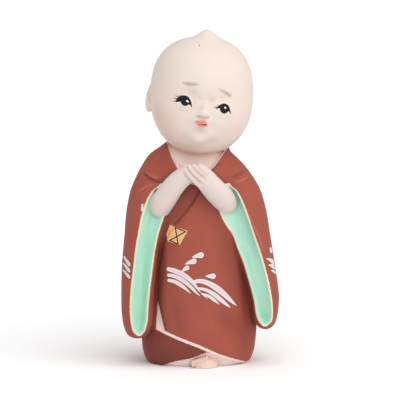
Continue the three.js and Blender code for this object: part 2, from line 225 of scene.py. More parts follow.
# Forearms, hands and foot: points (across, back, up) along each limb, and its radii.
LEFT_FOREARM = (
    [(-23.6, -20, 97.4), (-21.0, -23, 101.8), (-14.8, -27, 110.8), (-8, -29.4, 117.6)],
    (6.9, 6.8, 6.3, 5.6),
)
RIGHT_FOREARM = (
    [(15.6, -20.6, 98.6), (13.4, -23.4, 102.2), (7.2, -27.6, 109.2), (3.6, -29.4, 113.6)],
    (6.4, 6.9, 6.8, 6.2),
)
FINGER = (1.5, 1.6, 1.6, 1.3)
FINGERS = [
    ([(1.5, -31.6, 109.7), (-1.4, -33.8, 112.4), (-6.1, -35.4, 117.3), (-8.6, -33.8, 121)], FINGER),
    ([(5, -31.4, 110.7), (2, -34, 114), (-3.9, -36, 119.5), (-6.5, -34.4, 122.6)], FINGER),
    ([(8, -30.8, 112.1), (5, -33.4, 115.9), (-0.8, -35.6, 121), (-3.6, -34.2, 123)], FINGER),
    (
        [(9.6, -29.6, 113.8), (7.4, -31.4, 117), (3, -33.2, 121), (-0.2, -32.8, 122.8)],
        (1.5, 1.7, 1.7, 1.4),
    ),
    ([(-14, -30.2, 113), (-11.2, -31.6, 118), (-9, -32.2, 121.2)], (2.2, 2, 1.5)),
]
# Palms: centre, half sizes, and turn in degrees.
PALMS = [
    ((-8.2, -29.6, 116.8), (6, 5, 5.6), -40),
    ((2.4, -30.4, 115.0), (8.6, 4.6, 6.1), 47),
]
NECK = ([(-2.6, -3.6, 112), (-1.8, -2.8, 124), (-0.6, -2, 136)], (13.6, 12.8, 14))
FOOT_CENTRE = (2.9, -21.6, 1.4)
FOOT_HALF_SIZES = (7.7, 6.9, 4.8)
# Toes from the left: the first one's centre, and how far each is from the one before it.
TOES = 6
FIRST_TOE = (-4.2, -26.4, 3.0)
NEXT_TOE = (1.6, 0.1, 0.45)
TOE_HALF_SIZES = (1.0, 1.9, 2.3)

# Head: centre, half sizes, how square its crown, jaw and level outline are, and its turn.
HEAD_CENTRE = (1, -2.2, 160.9)
HEAD_HALF_WIDTH = 30.6
HEAD_HALF_DEPTH = 30.6
HEAD_CROWN = 34.6
HEAD_CHIN = 35.6
CROWN_FULLNESS = 2.45
JAW_FULLNESS = 2.15
GIRTH_FULLNESS = 2.12
HEAD_LEAN = math.radians(1)
FACE_TILT = math.radians(10)
HEAD_TURN = math.radians(4.3)
# Soft swellings of the head: direction, rise and spread (an angle in radians).
HEAD_SWELLINGS = [
    ((0.07, -0.06, 1), 5.0, 0.17),
    ((-0.13, -0.66, -0.75), 2.0, 0.36),
    ((-0.6, -0.7, -0.36), 0.9, 0.34),
    ((0.5, -0.72, -0.5), 0.9, 0.34),
    ((-0.04, -1, -0.26), 0.8, 0.2),
]
# The same in the tilted face's own frame: brow, eye sockets, bridge of the nose, round chin.
FACE_SWELLINGS = [
    ((0, -1, 0.36), 0.9, 0.3),
    ((-0.34, -1, 0.1), -1.2, 0.14),
    ((0.34, -1, 0.1), -1.2, 0.14),
    ((-0.13, -1, 0.06), -0.8, 0.07),
    ((0.13, -1, 0.06), -0.8, 0.07),
    ((-0.36, -1, -0.02), 0.55, 0.09),
    ((0.36, -1, -0.02), 0.55, 0.09),
    ((-0.5, -1, -0.4), 0.7, 0.22),
    ((0.5, -1, -0.4), 0.7, 0.22),
    ((0, -1, -0.43), 1.5, 0.14),
    ((0, -1, -0.61), -1.1, 0.09),
    ((0.02, -1, -0.8), 2.0, 0.15),
    ((-0.24, -1, -0.5), -0.45, 0.09),
    ((0.24, -1, -0.5), -0.45, 0.09),
    ((-0.3, -1, -0.95), -0.9, 0.1),
    ((0.3, -1, -0.95), -0.9, 0.1),
]
# Ears by side, nose and lips: direction in the tilted face's frame, how far the form's middle is
# sunk under the skin there, and half sizes. Nostrils and lips join on in turn, each this softly.
EARS = {-1: ((-28, 9.5, -6.8), 0.7), 1: ((28, 10.5, -6.8), 0.8)}
EAR_HALF_SIZES = (3.1, 5.2, 10.4)
EAR_BOWL_HALF_SIZES = (1.8, 3.2, 6.6)
NOSE_TIP = ((0.2, -30, -6.4), 0.9, (2.5, 2.9, 2.1))
NOSE_BRIDGE = ((0, -30, -3.2), 1.2, (1.7, 2.2, 3.4))
NOSTRILS_AND_LIPS = [
    (((-1.9, -30, -7.1), 0.8, (1.3, 1.6, 1.2)), 0.9),
    (((1.9, -30, -7.1), 0.8, (1.3, 1.6, 1.2)), 0.9),
    (((-1.3, -30, -11.9), 0.3, (2.2, 1.5, 1.25)), 0.6),
    (((1.3, -30, -11.9), 0.3, (2.2, 1.5, 1.25)), 0.6),
    (((0, -30, -14.4), 0.5, (2.7, 1.7, 1.35)), 0.5),
]

# Painted marks, as the painter sees them from the front: strokes of points with the half width of
# the brush at each, across and up.
BROWS = [
    [(-9.7, 165.1, 0.35), (-7.2, 164.6, 0.75), (-4.6, 164.3, 0.8), (-1.0, 164.3, 0.25)],
    [(11.0, 161.6, 0.2), (14.0, 160.0, 0.6), (17.6, 157.8, 0.85)],
]
# Irises: centre and half sizes.
IRISES = [
    ((-8.7, 154.5), (2.8, 2.85)),
    ((14.35, 149.9), (2.65, 2.75)),
]
LIDS = [
    [(-14.2, 154.4, 0.35), (-12.4, 156.4, 0.7), (-10.2, 157.3, 0.6), (-7.8, 156.9, 0.6),
     (-6.2, 155.0, 0.6), (-5.5, 152.9, 0.55), (-5.0, 151.3, 0.3)],
    [(9.6, 150.2, 0.3), (12.2, 152.0, 0.5), (14.4, 152.6, 0.55), (16.5, 151.5, 0.5),
     (17.4, 149.2, 0.45), (18.0, 147.2, 0.28)],
    [(-13.6, 154.4, 0.5), (-11.8, 155.3, 1.1), (-10.4, 155.4, 0.9)],
    [(-6.9, 154.6, 0.8), (-6.1, 152.8, 0.6)],
    [(16.6, 150.2, 0.7), (17.0, 148.8, 0.5)],
    [(10.4, 150.3, 0.25), (11.9, 150.9, 0.55), (13.0, 150.8, 0.4)],
]
LASHES = [
    [(-13.0, 155.0, 0.35), (-15.9, 154.2, 0.12)],
    [(-12.9, 155.8, 0.35), (-15.8, 156.3, 0.12)],
    [(-12.2, 156.5, 0.35), (-14.5, 157.8, 0.12)],
    [(-11.2, 157.0, 0.3), (-12.5, 158.0, 0.12)],
    [(-10.2, 157.4, 0.28), (-10.8, 158.2, 0.1)],
    [(10.2, 150.4, 0.25), (7.9, 150.6, 0.08)],
    [(10.6, 150.8, 0.25), (8.8, 151.4, 0.08)],
    [(11.4, 151.5, 0.25), (10.0, 152.3, 0.08)],
]
GLINTS = [
    [(-7.6, 154.6, 0.5), (-7.1, 154.2, 0.45)],
    [(14.8, 150.7, 0.45), (15.1, 150.4, 0.4)],
]
LIPS = [
    [(-2.6, 142.1, 0.35), (-0.9, 142.3, 0.95), (0.5, 142.2, 1.0), (2.5, 142.1, 0.95), (3.7, 141.1, 0.4)],
    [(-1.5, 140.9, 0.5), (0.6, 140.2, 1.1), (2.5, 140.2, 1.0), (3.5, 140.8, 0.4)],
]
MOUTH_LINE = [[(-0.6, 141.2, 0.12), (1.2, 140.9, 0.25), (2.6, 140.7, 0.4), (3.9, 140.4, 0.35)]]
# Soft shading: under the nose, round the mouth, chin and eyes, and between the brows.
NOSE_SHADE = [
    [(-2.2, 145.6, 0.2), (-0.6, 145.3, 0.5), (1.6, 144.5, 0.35), (3.8, 144.6, 0.5), (5.0, 144.6, 0.2)],
]
SOFT_SHADES = [
    [(-3.0, 137.6, 0.3), (0.8, 136.4, 0.8), (4.2, 135.8, 0.3)],
    [(-11.0, 133.6, 0.1), (-4.6, 130.0, 0.8), (3.0, 129.4, 0.8), (9.0, 131.6, 0.1)],
    [(-3.4, 160.6, 0.5), (-3.0, 157.2, 0.9), (-2.4, 154.0, 0.4)],
    [(5.6, 158.2, 0.4), (6.4, 155.6, 0.6), (7.4, 152.4, 0.5)],
    [(-4.6, 151.6, 0.1), (-2.0, 151.0, 0.3), (0.4, 150.8, 0.1)],
    [(-13.4, 150.4, 0.1), (-9.0, 149.4, 0.3), (-5.0, 150.2, 0.1)],
    [(11.0, 145.2, 0.1), (15.0, 144.6, 0.3), (18.6, 145.4, 0.1)],
    [(-9.6, 160.6, 0.4), (-6.0, 160.4, 0.7), (-3.6, 158.0, 0.4)],
]
# Pink on the cheeks, elbows and wrist.
BLUSH = [
    [(-19.6, 145.6, 1.8), (-17.4, 141.6, 1.8)],
    [(20.4, 140.6, 1.4), (20.8, 139.0, 1.4)],
    [(-27.0, 93.0, 1.0), (-26.8, 90.4, 1.0)],
    [(9.6, 105.2, 0.6), (10.8, 103.4, 0.6)],
    [(18.4, 97.4, 0.5), (19.4, 95.0, 0.5)],
]
FOOT_TINT = [[(-3.0, -1.5, 2.5), (3.0, -0.5, 3.0), (8.5, -1.5, 2.0)]]
# Rosy brown under the cheek and chin.
JAW_SHADE = [
    [(-27.6, 149.0, 0.4), (-25.0, 140.0, 1.2), (-20.4, 133.4, 1.6), (-14.6, 128.4, 1.2),
     (-8.0, 125.6, 0.4)],
]
# Painted shade in the gaps where the fingers and the toes part.
FINGER_GAP_SHADES = [
    [(-7.75, 116.1, 0.1), (-4.9, 111.6, 0.2), (-2.2, 109.0, 0.2), (0.8, 106.4, 0.1)],
    [(-4.6, 115.5, 0.1), (-2.6, 113.0, 0.2), (0.6, 110.4, 0.2), (3.7, 108.1, 0.1)],
    [(-9.5, 111.8, 0.1), (-7.2, 109.3, 0.2), (-2.6, 104.7, 0.2), (-0.9, 102.4, 0.1)],
    [(-1.6, 115.6, 0.1), (0.8, 113.6, 0.15), (4.0, 111.2, 0.1)],
    [(-15.4, 113.4, 0.1), (-12.2, 115.2, 0.15), (-9.6, 116.0, 0.1)],
]
TOE_GAP_SHADES = [
    [(-3.4, 1.6, 0.1), (-3.5, -1.0, 0.15)],
    [(-1.8, 2.0, 0.15), (-1.9, -1.0, 0.15)],
    [(-0.2, 2.4, 0.1), (-0.3, -0.6, 0.15)],
    [(1.4, 3.0, 0.1), (1.3, 0.0, 0.15)],
    [(3.0, 3.4, 0.1), (2.9, 0.6, 0.15)],
]
# Painted shade between sleeve and body, beside the arms and under the hands.
ROBE_SHADOWS = [
    [(-20.4, 86.0, 0.2), (-21.6, 70.0, 0.8), (-22.2, 48.0, 0.8), (-22.6, 32.0, 0.6), (-20.0, 20.0, 0.3)],
    [(9.0, 90.0, 0.4), (12.6, 82.0, 1.2), (16.6, 70.0, 1.8), (18.6, 60.0, 1.8), (20.6, 50.0, 0.8),
     (22.6, 40.0, 0.2)],
    [(-16.0, 88.0, 0.8), (-12.0, 93.0, 1.4), (-6.0, 97.6, 1.4), (0.0, 96.0, 1.0), (6.0, 91.0, 0.6)],
    [(-18.4, 44.0, 0.4), (-15.6, 32.0, 0.8), (-11.6, 21.0, 0.6)],
    [(15.0, 27.0, 0.4), (22.0, 20.0, 1.0), (27.0, 10.0, 0.8)],
    [(-27.0, 12.0, 0.6), (-21.0, 3.0, 0.8)],
]
# Painted shade: darker mint along the bottom of each sleeve's mouth.
LINING_FOLD_SHADES = [
    [(-29.6, 86.0, 0.6), (-31.6, 72.0, 1.4), (-32.4, 56.0, 1.6), (-32.8, 41.0, 1.4), (-33.8, 26.0, 0.8),
     (-35.2, 19.0, 0.3)],
    [(23.2, 98.0, 0.5), (27.6, 83.0, 1.2), (31.0, 71.0, 1.0), (33.6, 62.0, 0.3)],
    [(25.4, 68.0, 0.3), (28.8, 58.8, 0.9), (32.4, 46.0, 1.0), (35.0, 38.0, 0.9), (37.2, 27.0, 0.4)],
]
# Painted shade in the creases of the robe, and painted highlight along its ridges.
FOLD_SHADES = [
    [(12.0, 117.0, 0.25), (8, 114.6, 0.3), (-4.8, 93.2, 0.45), (-14.3, 81.8, 0.3), (-19, 76.0, 0.1)],
    [(-15.5, 88.0, 0.1), (-19.5, 80.0, 0.4), (-21.2, 70.0, 0.6), (-21.0, 58.8, 0.6), (-21.8, 51.6, 0.6),
     (-23.6, 42.2, 0.6), (-24.3, 36.0, 0.5), (-23.3, 30.9, 0.4), (-19.8, 18.4, 0.2)],
    [(-34.7, 113.3, 0.2), (-30.0, 109.1, 0.5), (-26.0, 107.2, 0.5), (-22.7, 106.5, 0.2)],
    [(28.0, 114.3, 0.1), (24.0, 112.0, 0.4), (19.7, 109.7, 0.3)],
]
RIDGE_HIGHLIGHTS = [
    [(24.6, 95.6, 0.12), (27.4, 90.0, 0.3), (31.6, 81.6, 0.3), (35.2, 73.9, 0.25), (37.6, 66.0, 0.1)],
    [(-37.2, 100.8, 0.1), (-32.1, 104.0, 0.3), (-25.4, 105.8, 0.2)],
    [(-33.6, 114.6, 0.1), (-29.6, 110.9, 0.3), (-25.6, 109.2, 0.2)],
    [(29.0, 110.2, 0.1), (24.6, 107.8, 0.3), (20.8, 106.8, 0.2)],
]
# Pinholes that show dark.
SPECKS = [
    [(-0.4, 187.6, 0.3), (-0.3, 187.5, 0.3)],
    [(-8.1, 6.4, 0.35), (-8.0, 6.3, 0.3)],
]
# Sewn patch: its outline, and the black lines on it.
PATCH = [(-17.8, 81.4), (-7.3, 77.8), (-12.0, 69.4), (-19.1, 71.6), (-20.0, 75.8)]
PATCH_CROSS = [
    [(-14.7, 79.9, 0.34), (-8.6, 77.3, 0.34), (-18.0, 72.1, 0.34), (-13.0, 69.9, 0.34),
     (-14.7, 79.9, 0.34)],
]
# Water drops, from tip to head, and the breaking wave in combed bands.
DROPS = [
    [(-4.5, 62.3, 0.25), (-2.2, 62.8, 1.05), (0.6, 63.4, 1.75)],
    [(-8.7, 58.1, 0.25), (-6.4, 59.0, 1.05), (-3.6, 59.8, 1.65)],
    [(-11.1, 53.6, 0.25), (-9.3, 54.8, 0.9), (-7.7, 55.9, 1.4)],
    [(3.4, 50.9, 0.25), (5.3, 50.9, 0.95), (7.7, 50.9, 1.65)],
]
WAVES = [
    [(-18.6, 55.0, 1.2), (-14.7, 53.9, 1.45), (-9.8, 51.6, 1.45), (-5.7, 48.6, 1.25), (-3.0, 45.6, 0.9),
     (0.5, 41.0, 0.15)],
    [(-18.6, 51.5, 0.95), (-15.3, 50.9, 1.05), (-10.6, 48.6, 1.15), (-6.2, 45.2, 1.0), (-3.0, 42.0, 0.7),
     (-0.1, 39.1, 0.15)],
    [(-18.5, 48.4, 0.9), (-14.7, 47.5, 1.1), (-10.1, 44.7, 1.0), (-5.4, 40.6, 0.15)],
    [(-4.2, 47.5, 0.9), (0.2, 48.0, 1.3), (4.9, 46.7, 1.5), (10.2, 43.6, 1.75), (15.1, 39.5, 1.5),
     (19.0, 35.7, 0.9), (21.6, 33.4, 0.2)],
    [(-0.4, 43.6, 0.7), (3.1, 42.9, 0.95), (7.8, 40.5, 1.25), (12.2, 37.0, 1.25), (15.7, 34.1, 0.8),
     (18.1, 32.2, 0.15)],
    [(1.4, 40.5, 0.5), (5.2, 39.0, 0.85), (8.4, 36.7, 0.8), (11.5, 34.2, 0.15)],
    [(1.1, 40.5, 0.4), (4.6, 37.3, 0.12)],
]
SLEEVE_LEAVES = [
    [(-45.2, 62.4, 0.5), (-42.6, 58.6, 0.95), (-41.9, 57.4, 0.7)],
    [(-45.4, 58.4, 0.5), (-42.8, 55.0, 0.95), (-42.0, 53.8, 0.7)],
    [(-45.6, 54.4, 0.5), (-42.8, 51.2, 0.9), (-41.9, 50.0, 0.6)],
    [(39.9, 61.2, 0.5), (42.4, 60.2, 1.0), (43.6, 58.4, 0.8)],
    [(41.0, 57.6, 0.4), (43.2, 56.8, 1.0), (44.4, 55.4, 0.7)],
    [(42.4, 54.4, 0.3), (44.6, 53.2, 0.8), (45.4, 52.4, 0.5)],
]
SLEEVE_DABS = [
    [(-34.1, 93.4, 0.5), (-34.4, 90.1, 0.55)],
    [(42.0, 67.2, 0.7), (42.5, 65.2, 0.7)],
]

# Which strokes each paint is laid on with.
STROKES = {
    "blush": BLUSH,
    "jaw_shade": JAW_SHADE,
    "finger_gap_shade": FINGER_GAP_SHADES + TOE_GAP_SHADES,
    "foot_tint": FOOT_TINT,
    "robe_shadow": ROBE_SHADOWS,
    "lining_fold_shade": LINING_FOLD_SHADES,
    "nose_shade": NOSE_SHADE,
    "soft_shade": SOFT_SHADES,
    "brow": BROWS,
    "lips": LIPS,
    "mouth_line": MOUTH_LINE,
    "eye_line": LIDS + LASHES,
    "glint": GLINTS,
    "patch_cross": PATCH_CROSS,
    "pale": DROPS + WAVES + SLEEVE_LEAVES,
    "dab": SLEEVE_DABS,
    "fold_shade": FOLD_SHADES,
    "ridge_highlight": RIDGE_HIGHLIGHTS,
    "speck": SPECKS,
}
# The other distances and measures that each vertex carries for the paint.
REGIONS = (
    "bare_skin", "sleeve_lining", "pale_hem", "collar_rim", "under_coat", "arms", "patch", "iris",
    "pupil", "hollowness", "shelter",
)
# Strokes that run straight from point to point; fine lines, round which the mesh is finest; and
# soft ones, which it isn't made finer for.
STRAIGHT = ("patch_cross",)
THIN = ("patch_cross", "eye_line", "glint", "mouth_line")
SOFT = (
    "blush", "jaw_shade", "soft_shade", "nose_shade", "brow", "foot_tint", "finger_gap_shade",
    "fold_shade", "ridge_highlight", "robe_shadow", "lining_fold_shade",
)

# The block of clay, and how far round each point its hollows and its shelter are felt.
BLOCK = ((-50, -43, -2), (50, 31, 203))
HOLLOW_REACH = 2.0
SHELTER_REACH = 8.0
ARMS = ("left_arm", "right_arm", "hands")
CHEST_BOTTOM = 100
UNDER_COAT_TOP = 24

# A mark isn't felt from farther away than this, and runs out round the sides between these two.
FARTHEST = 9.0
SIDE_START = -15
SIDE_END = -5
# Longest edge of the mesh at a mark's edge, its share at a fine line, how fast it grows away from
# them, and the width of the band that it doesn't grow in.
FINE_EDGE = 0.45
THIN_SHARE = 0.55
EDGE_GROWTH = 1.3
EDGE_BAND = 0.3

# Widths of the paint's patterns in millimetres: patches that a wide brush leaves, its waver along
# an edge, and grit. Real grit of about 0.1 mm is too fine to show, so it is drawn coarser.
PATCH_MM = 16.7
WAVER_MM = 1.11
GRIT_MM = 0.455

# The picture: the height that it is centred on and its width, in units; film width and floor in
# millimetres and metres.
AIM_HEIGHT = 97.3
PICTURE_WIDTH = 238.6
FILM_WIDTH = 36
FLOOR_REACH = 4.0
KEY_DIRECTION = (0.5, -0.85, 1.2)


# ---------------------------------------------------------------------------------------------
# Forms: each gives, near enough, the distance from its skin to points, negative inside it.


def through(rows, height):
    """Values of a table's columns at the heights, on a smooth curve through its rows."""
    rows = np.asarray(rows, float)
    ends = np.vstack([rows[:1], rows, rows[-1:]])
    slopes = (ends[2:] - ends[:-2]) / (ends[2:, :1] - ends[:-2, :1])
    h = np.clip(height, rows[0, 0], rows[-1, 0])
    i = np.clip(np.searchsorted(rows[:, 0], h, side="right") - 1, 0, len(rows) - 2)
    span = rows[i + 1, 0] - rows[i, 0]
    t = (h - rows[i, 0]) / span
    columns = []
    for k in range(1, rows.shape[1]):
        value = (
            rows[i, k] * (1 + 2 * t) * (1 - t) ** 2
            + rows[i + 1, k] * t * t * (3 - 2 * t)
            + span * slopes[i, k] * t * (1 - t) ** 2
            + span * slopes[i + 1, k] * t * t * (t - 1)
        )
        columns.append(value.astype(np.float32))
    return columns


def smooth_step(value, start, end):
    """From 0 at the start to 1 at the end, levelling off at both."""
    t = np.clip((value - start) / (end - start), 0, 1)
    return t * t * (3 - 2 * t)


def joined(a, b, softness):
    """Union of two forms, with a fillet about as wide as the softness."""
    h = np.clip(0.5 + 0.5 * (b - a) / softness, 0, 1)
    return b + (a - b) * h - softness * h * (1 - h)


def cut(a, b, softness):
    """What is left of a form when another is cut from it."""
    return -joined(-a, b, softness)


def upright_oval(p, centre_x, half_width, centre_y, front, back, fullness):
    """Distance from an upright form whose level outline is an oval, squarer when it is fuller."""
    x, y, _ = p
    across, along = x - centre_x, y - centre_y
    reach = np.where(along < 0, front, back)
    ratio = (
        np.abs(across / half_width) ** fullness + np.abs(along / reach) ** fullness
    ) ** (1 / fullness)
    return np.sqrt(across**2 + along**2) * (1 - 1 / np.maximum(ratio, 1e-3))


def nearest_on_line(points, places):
    """Distance to a line through points with any number of coordinates, and the share along it."""
    best, share = None, None
    steps = len(points) - 1
    for i, (a, b) in enumerate(zip(points, points[1:])):
        edge = [q - p for p, q in zip(a, b)]
        length = sum(e * e for e in edge)
        t = sum((c - p) * e for c, p, e in zip(places, a, edge)) / length
        t = np.clip(t, 0, 1)
        d = sum((c - p - t * e) ** 2 for c, p, e in zip(places, a, edge))
        if best is None:
            best, share = d, t / steps
        else:
            closer = d < best
            best = np.where(closer, d, best)
            share = np.where(closer, (i + t) / steps, share)
    return np.sqrt(best), share


def smooth_points(points, count):
    """Evenly many points on a smooth curve through a few."""
    rows = [(i, *point) for i, point in enumerate(points)]
    return list(zip(*through(rows, np.linspace(0, len(points) - 1, count))))


def limb(p, points, radii, count=9):
    """Distance from a round limb along a smooth curve, with its radii from end to end."""
    distance, share = nearest_on_line(smooth_points(points, count), p)
    return distance - np.interp(share, np.linspace(0, 1, len(radii)), radii)


def turned(p, centre, matrix):
    """Coordinates of points in a frame that was turned by a matrix about a centre."""
    d = [c - m for c, m in zip(p, centre)]
    return [sum(matrix[k][j] * d[k] for k in range(3)) for j in range(3)]


def ball(p, centre, half_sizes, turn=None):
    """Distance from an egg-shaped form, turned by a matrix if it has one."""
    matrix = turn or Matrix.Identity(3)
    d = turned(p, centre, matrix)
    far = np.sqrt(sum(c * c for c in d))
    ratio = np.sqrt(sum((c / s) ** 2 for c, s in zip(d, half_sizes)))
    return far * (1 - 1 / np.maximum(ratio, 1e-3))


def outline_distance(x, z, outline):
    """Distance from a closed outline, negative inside it."""
    nearest, inside = None, np.zeros(np.broadcast(x, z).shape, bool)
    for (ax, az), (bx, bz) in zip(outline, outline[1:] + outline[:1]):
        ex, ez = bx - ax, bz - az
        t = np.clip(((x - ax) * ex + (z - az) * ez) / (ex * ex + ez * ez), 0, 1)
        d = (x - ax - t * ex) ** 2 + (z - az - t * ez) ** 2
        nearest = d if nearest is None else np.minimum(nearest, d)
        if az != bz:
            crosses = ((az > z) != (bz > z)) & (x < ex * (z - az) / ez + ax)
            inside ^= crosses
    return np.where(inside, -1, 1) * np.sqrt(nearest)


def fold_relief(p, folds, facing):
    """How far soft folds stand out, on the side that faces -Y (-1) or +Y (1)."""
    x, y, z = p
    relief = 0
    for points, width, rise in folds:
        distance, share = nearest_on_line(smooth_points(points, 7), (x, z))
        fade = smooth_step(share, 0, 0.2) * smooth_step(1 - share, 0, 0.2)
        relief = relief + rise * (0.25 + 0.75 * fade) * np.exp(-((distance / width) ** 2))
    return relief * smooth_step(facing * y, 2, 10)


def robe_skin(p):
    """Distance from the innermost layer of the robe."""
    centre, half_width, front, back = through(BODY_SHAPE, p[2])
    shape = upright_oval(p, centre, half_width, 0, front, back, BODY_FULLNESS)
    drape = fold_relief(p, FRONT_FOLDS, -1) + fold_relief(p, BACK_FOLDS, 1)
    top = p[2] - BODY_SHAPE[-1][0]
    return np.maximum(shape - drape, top)


def front_fade(p):
    """1 on the front of the robe, falling to 0 behind it."""
    front = through(BODY_SHAPE, p[2])[2]
    return smooth_step(-p[1] / front, -0.15, 0.35)


def robe_outlines(p):
    """Distances from the outlines of the wrapped panel and of the pale hem under it."""
    x, _, z = p
    wrap = outline_distance(x, z, WRAP_EDGE + WRAP_HEM + WRAP_SIDE)
    shift = LINING_WIDTH
    hem = [(hx - 0.2 * shift, hz - shift) for hx, hz in WRAP_EDGE[-1:] + WRAP_HEM[:-1]]
    left = [(-25, 40), (-25 - 0.7 * shift, 22.6)]
    return wrap, outline_distance(x, z, left + hem + [(32, -2), (32, 40)])


def robe_layers(p, sizes):
    """Distances from the under-robe, the coat, its pale hem and the panel wrapped over it."""
    x, y, z = p
    step = sizes.layer_step / sizes.unit
    core = robe_skin(p)
    wrap, lining = robe_outlines(p)
    neck = np.maximum(outline_distance(x, z, NECK_OPENING), y)
    under = np.maximum(outline_distance(x, z, UNDER_ROBE), y)
    fade = front_fade(p)
    coat = cut(cut(core - step, neck, 0.5), under, 0.5)
    hem = -joined(-(core - step - 0.6 * step * fade), -np.maximum(lining, y), 0.7)
    panel = -joined(-(core - step - step * fade), -np.maximum(wrap, y), 0.6)
    return core, coat, hem, panel


def sleeve_mouth(p, side, sizes):
    """Distance from the wedge-shaped hollow of a sleeve's mouth, which is shallower where narrow."""
    x, y, z = p
    depth = sizes.mouth_depth / sizes.unit
    centre, thickness, middle, half_depth = through(SLEEVES[side], z)
    mouth, half_width = through(MOUTHS[side], z)
    half_width = np.maximum(half_width, 0.3)
    aside = np.minimum(np.abs(mouth - centre) / thickness, 0.9)
    lip = middle - half_depth * (1 - aside**SLEEVE_FULLNESS) ** (1 / SLEEVE_FULLNESS)
    deep = depth * np.minimum(1, half_width / 4)
    inward = np.maximum(y - lip, 0) / deep
    ratio = (
        np.abs((x - mouth) / half_width) ** MOUTH_FULLNESS + inward**MOUTH_FULLNESS
    ) ** (1 / MOUTH_FULLNESS)
    aside = (ratio - 1) * half_width * 0.8
    past = np.maximum(MOUTHS[side][0][0] - z, z - MOUTHS[side][-1][0])
    return np.where(past > 0, np.hypot(np.maximum(aside, 0), past), np.maximum(aside, past))


def sleeve(p, side, sizes):
    """Distance from a sleeve with its mouth cut in."""
    rows = SLEEVES[side]
    centre, thickness, middle, half_depth = through(rows, p[2])
    shape = upright_oval(p, centre, thickness, middle, half_depth, half_depth, SLEEVE_FULLNESS)
    shape = shape - fold_relief(p, FRONT_FOLDS, -1)
    ends = np.maximum(rows[0][0] - p[2], p[2] - rows[-1][0])
    shape = -joined(-shape, -ends, 1.6)
    return cut(shape, sleeve_mouth(p, side, sizes), 0.6)


HEAD_MATRIX = Matrix.Rotation(HEAD_LEAN, 3, "Y") @ Matrix.Rotation(HEAD_TURN, 3, "Z")
FACE_MATRIX = HEAD_MATRIX @ Matrix.Rotation(FACE_TILT, 3, "Y")


def swelling(direction, swellings):
    """How far the swellings stand out in a direction."""
    total = 0
    for towards, rise, spread in swellings:
        aim = Vector(towards).normalized()
        cosine = sum(c * a for c, a in zip(direction, aim))
        total = total + rise * np.exp(-2 * (1 - cosine) / spread**2)
    return total


def head_radius(direction, face_direction):
    """Distance from the head's centre to its skin, in a direction of the head's frame."""
    x, y, z = direction
    upper = smooth_step(z, -0.3, 0.4)
    power = JAW_FULLNESS + (CROWN_FULLNESS - JAW_FULLNESS) * upper
    height = HEAD_CHIN + (HEAD_CROWN - HEAD_CHIN) * upper
    girth = (
        np.abs(x / HEAD_HALF_WIDTH) ** GIRTH_FULLNESS + np.abs(y / HEAD_HALF_DEPTH) ** GIRTH_FULLNESS
    ) ** (1 / GIRTH_FULLNESS)
    total = (girth**power + np.abs(z / height) ** power) ** (-1 / power)
    return total + swelling(direction, HEAD_SWELLINGS) + swelling(face_direction, FACE_SWELLINGS)


def skull(p):
    """Distance from the bare head, without ears, nose and lips."""
    d = turned(p, HEAD_CENTRE, HEAD_MATRIX)
    f = turned(p, HEAD_CENTRE, FACE_MATRIX)
    far = np.maximum(np.sqrt(sum(c * c for c in d)), 1e-3)
    return far - head_radius([c / far for c in d], [c / far for c in f])


def on_face(towards, sunk):
    """Point under the head's skin in a direction of the face's frame."""
    face = Vector(towards).normalized()
    world = FACE_MATRIX @ face
    own = HEAD_MATRIX.transposed() @ world
    reach = float(head_radius([np.float64(c) for c in own], [np.float64(c) for c in face]))
    return Vector(HEAD_CENTRE) + world * (reach - sunk)


def ear(p, side):
    """A shell-shaped ear: a flat lobe with a hollow pressed into its outer side."""
    turn = FACE_MATRIX @ Matrix.Rotation(-0.4 * side, 3, "Z") @ Matrix.Rotation(0.12, 3, "X")
    centre = on_face(*EARS[side])
    lobe = ball(p, centre, EAR_HALF_SIZES, turn)
    bowl = centre + turn @ Vector((2.7 * side, -1.6, 1.4))
    return cut(lobe, ball(p, bowl, EAR_BOWL_HALF_SIZES, turn), 0.8)


def feature(p, towards, sunk, half_sizes):
    """A rounded part of the face, set into its skin."""
    return ball(p, on_face(towards, sunk), half_sizes, FACE_MATRIX)


def head(p):
    """Distance from the head with its ears, nose and lips."""
    form = skull(p)
    for side in EARS:
        form = joined(form, ear(p, side), 1.0)
    nose = joined(feature(p, *NOSE_TIP), feature(p, *NOSE_BRIDGE), 1.6)
    form = joined(form, nose, 1.8)
    for part, softness in NOSTRILS_AND_LIPS:
        form = joined(form, feature(p, *part), softness)
    return form


def foot(p):
    """Distance from the foot that looks out under the hem, with its toes."""
    form = ball(p, FOOT_CENTRE, FOOT_HALF_SIZES)
    for i in range(TOES):
        centre = [start + i * step for start, step in zip(FIRST_TOE, NEXT_TOE)]
        form = joined(form, ball(p, centre, TOE_HALF_SIZES), 0.3)
    return form


def hands(p):
    """Distance from the two palms and their fingers."""
    form = None
    for centre, half_sizes, degrees in PALMS:
        palm = ball(p, centre, half_sizes, Matrix.Rotation(math.radians(degrees), 3, "Y"))
        form = palm if form is None else joined(form, palm, 1.2)
    for points, radii in FINGERS:
        form = joined(form, limb(p, points, radii), 0.5)
    return form


def roomy(low, high):
    """Box that a form is worked out in, a little larger than the form."""
    margin = 4.0
    return [c - margin for c in low], [c + margin for c in high]


def skin_forms():
    """Bare parts of the child: form, its box, and how softly it joins what is there."""
    return {
        "neck": (lambda p: limb(p, *NECK), roomy((-17, -18, 108), (14, 14, 140)), 0.8),
        "head": (head, roomy((-36, -40, 122), (38, 32, 200)), 0.8),
        "left_arm": (lambda p: limb(p, *LEFT_FOREARM), roomy((-33, -36, 88), (0, -11, 126)), 0.8),
        "right_arm": (lambda p: limb(p, *RIGHT_FOREARM), roomy((-5, -37, 87), (25, -12, 123)), 0.8),
        "hands": (hands, roomy((-17, -41, 104), (15, -22, 128)), 1.0),
        "foot": (foot, roomy((-6, -30, -2), (12, -13, 8)), 0.6),
    }


